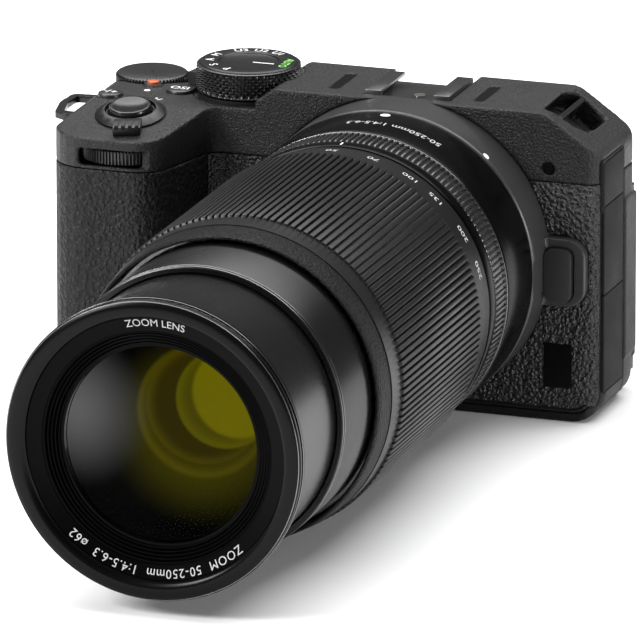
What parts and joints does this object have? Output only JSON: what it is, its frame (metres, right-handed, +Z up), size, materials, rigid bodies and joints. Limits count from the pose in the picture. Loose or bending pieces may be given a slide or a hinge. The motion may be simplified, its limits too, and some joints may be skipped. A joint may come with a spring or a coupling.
{
  "type": "mirrorless camera",
  "caption": "Compact system camera: hand grip, top dials and keys, side-hinged screen, and a zoom lens whose tubes slide out as its ring turns.",
  "frame": {"origin": "mouth of the tripod socket, in the plane of the base", "axes": "+Z up, -Y the way the lens points (the camera's front), +X towards the side with the sockets and the screen hinge"},
  "size_m": [0.1378, 0.2083, 0.0756],
  "materials": {
    "moulded_cover": "finely stippled",
    "grip_leather": "pebbled",
    "satin_ring": "satin",
    "gloss_barrel": "glossy",
    "ring_rubber": "ribbed",
    "tube_satin": "satin",
    "control_metal": "anodised black",
    "key_plastic": "satin",
    "record_red": "glossy",
    "mount_steel": "polished",
    "inner_frame": "cast",
    "screw_steel": "black oxide",
    "shoe_steel": "satin",
    "contact_gold": "gilt",
    "circuit_board": "satin",
    "battery_case": "matte",
    "port_rubber": "matte",
    "lamp_window": "glossy",
    "lens_glass": "coated",
    "screen_panel": "glossy",
    "inner_black": "matte",
    "sensor_face": "glossy"
  },
  "bodies": {
    "root": {"front_cover": "moulded_cover", "top_cover": "moulded_cover", "rear_cover": "moulded_cover", "base_plate": "moulded_cover", "grip_rubber": "grip_leather", "front_leather": "grip_leather", "thumb_rest": "grip_leather", "mount_surround": "satin_ring", "mount_flange": "mount_steel", "mount_screws": "mount_steel", "contact_block": "contact_gold", "shutter_unit": "inner_black", "sensor_unit": "sensor_face", "chassis": "inner_frame", "main_board": "circuit_board", "battery": "battery_case", "tripod_bush": "screw_steel", "case_screws": "screw_steel", "hot_shoe": "shoe_steel", "shoe_contacts": "contact_gold", "mic_grilles": "inner_black", "tally_lamp": "lamp_window", "strap_lugs": "shoe_steel", "port_sockets": "screw_steel", "lens_bayonet": "mount_steel", "lens_barrel": "gloss_barrel", "index_ring": "gloss_barrel", "guide_tube": "inner_frame", "rear_glass": "lens_glass", "screen_hinge": "key_plastic"},
    "shutter_button": {"shutter_button": "control_metal"},
    "power_lever": {"power_lever": "control_metal"},
    "ev_button": {"ev_button": "key_plastic"},
    "iso_button": {"iso_button": "key_plastic"},
    "record_button": {"record_button": "record_red"},
    "mode_dial": {"mode_dial": "control_metal"},
    "photo_video_lever": {"photo_video_lever": "key_plastic"},
    "command_dial": {"command_dial": "control_metal"},
    "front_dial": {"front_dial": "control_metal"},
    "lens_release": {"lens_release_button": "key_plastic", "lock_pin": "mount_steel"},
    "battery_door": {"battery_door": "moulded_cover"},
    "door_latch": {"door_latch": "key_plastic"},
    "port_cover_top": {"port_cover_top": "port_rubber"},
    "port_cover_middle": {"port_cover_middle": "port_rubber"},
    "port_cover_low": {"port_cover_low": "port_rubber"},
    "screen": {"screen_case": "moulded_cover", "screen_glass": "screen_panel"},
    "play_button": {"play_button": "key_plastic"},
    "menu_button": {"menu_button": "key_plastic"},
    "multi_selector": {"multi_selector": "key_plastic"},
    "ok_button": {"ok_button": "key_plastic"},
    "focus_ring": {"focus_ring": "ring_rubber"},
    "zoom_ring": {"zoom_ring": "ring_rubber"},
    "tube_outer": {"tube_outer": "tube_satin"},
    "tube_inner": {"tube_inner": "tube_satin", "front_ring": "tube_satin", "name_ring": "inner_black", "front_glass": "lens_glass", "aperture_unit": "inner_black"}
  },
  "joints": [
    {"name": "shutter_button_press", "type": "slide", "parent": "root", "child": "shutter_button", "axis": [0, 0.1736, -0.9848], "range_m": [0, 0.001], "stiffness_N_per_m": 300, "springref_m": -0.0008},
    {"name": "power_turn", "type": "hinge", "parent": "root", "child": "power_lever", "pos_m": [-0.0633, -0.0219, 0.06678], "axis": [0, -0.1736, 0.9848], "range_deg": [0, 35]},
    {"name": "ev_button_press", "type": "slide", "parent": "root", "child": "ev_button", "axis": [0, 0, -1], "range_m": [0, 0.0006], "stiffness_N_per_m": 400, "springref_m": -0.0008},
    {"name": "iso_button_press", "type": "slide", "parent": "root", "child": "iso_button", "axis": [0, 0, -1], "range_m": [0, 0.0006], "stiffness_N_per_m": 400, "springref_m": -0.0008},
    {"name": "record_button_press", "type": "slide", "parent": "root", "child": "record_button", "axis": [0, 0, -1], "range_m": [0, 0.0006], "stiffness_N_per_m": 400, "springref_m": -0.0008},
    {"name": "mode_turn", "type": "hinge", "parent": "root", "child": "mode_dial", "pos_m": [-0.0426, 0.002, 0.07], "axis": [0, 0, 1], "continuous": true},
    {"name": "photo_video_turn", "type": "hinge", "parent": "root", "child": "photo_video_lever", "pos_m": [-0.0426, 0.002, 0.0686], "axis": [0, 0, -1], "range_deg": [0, 20]},
    {"name": "command_turn", "type": "hinge", "parent": "root", "child": "command_dial", "pos_m": [-0.0691, 0.0094, 0.067], "axis": [0, 0, 1], "continuous": true},
    {"name": "front_dial_turn", "type": "hinge", "parent": "root", "child": "front_dial", "pos_m": [-0.0631, -0.0252, 0.0598], "axis": [0, 0, 1], "continuous": true},
    {"name": "lens_release_press", "type": "slide", "parent": "root", "child": "lens_release", "axis": [0, 1, 0], "range_m": [0, 0.0022], "stiffness_N_per_m": 600, "springref_m": -0.002},
    {"name": "battery_door_swing", "type": "hinge", "parent": "root", "child": "battery_door", "pos_m": [-0.0529, -0.0125, 0.00095], "axis": [0, -1, 0], "range_deg": [0, 95]},
    {"name": "door_latch_slide", "type": "slide", "parent": "battery_door", "child": "door_latch", "axis": [1, 0, 0], "range_m": [0, 0.003]},
    {"name": "port_top_swing", "type": "hinge", "parent": "root", "child": "port_cover_top", "pos_m": [0.04805, 0.0034, 0.0568], "axis": [0, 0, 1], "range_deg": [0, 100]},
    {"name": "port_middle_swing", "type": "hinge", "parent": "root", "child": "port_cover_middle", "pos_m": [0.04805, 0.0034, 0.0409], "axis": [0, 0, 1], "range_deg": [0, 100]},
    {"name": "port_low_swing", "type": "hinge", "parent": "root", "child": "port_cover_low", "pos_m": [0.04805, 0.0034, 0.0186], "axis": [0, 0, 1], "range_deg": [0, 100]},
    {"name": "screen_swing", "type": "hinge", "parent": "root", "child": "screen", "pos_m": [0.0434, 0.0184, 0.027], "axis": [0, 0, -1], "range_deg": [0, 175]},
    {"name": "play_button_press", "type": "slide", "parent": "root", "child": "play_button", "axis": [0, -1, 0], "range_m": [0, 0.0006], "stiffness_N_per_m": 400, "springref_m": -0.0008},
    {"name": "menu_button_press", "type": "slide", "parent": "root", "child": "menu_button", "axis": [0, -1, 0], "range_m": [0, 0.0006], "stiffness_N_per_m": 400, "springref_m": -0.0008},
    {"name": "multi_selector_press", "type": "slide", "parent": "root", "child": "multi_selector", "axis": [0, -1, 0], "range_m": [0, 0.0006], "stiffness_N_per_m": 400, "springref_m": -0.0008},
    {"name": "ok_button_press", "type": "slide", "parent": "root", "child": "ok_button", "axis": [0, -1, 0], "range_m": [0, 0.0006], "stiffness_N_per_m": 400, "springref_m": -0.0008},
    {"name": "focus_turn", "type": "hinge", "parent": "root", "child": "focus_ring", "pos_m": [0, -0.048, 0.0378], "axis": [0, -1, 0], "continuous": true},
    {"name": "zoom_turn", "type": "hinge", "parent": "root", "child": "zoom_ring", "pos_m": [0, -0.09, 0.0378], "axis": [0, -1, 0], "range_deg": [-73, 73]},
    {"name": "tube_outer_slide", "type": "slide", "parent": "root", "child": "tube_outer", "axis": [0, -1, 0], "range_m": [-0.0235, 0.0235]},
    {"name": "tube_inner_slide", "type": "slide", "parent": "tube_outer", "child": "tube_inner", "axis": [0, -1, 0], "range_m": [-0.0276, 0.0276]}
  ],
  "couplings": [
    {"joint": "tube_outer_slide", "follows": "zoom_turn", "m_per_rad": 0.018052},
    {"joint": "tube_inner_slide", "follows": "zoom_turn", "m_per_rad": 0.021349}
  ]
}
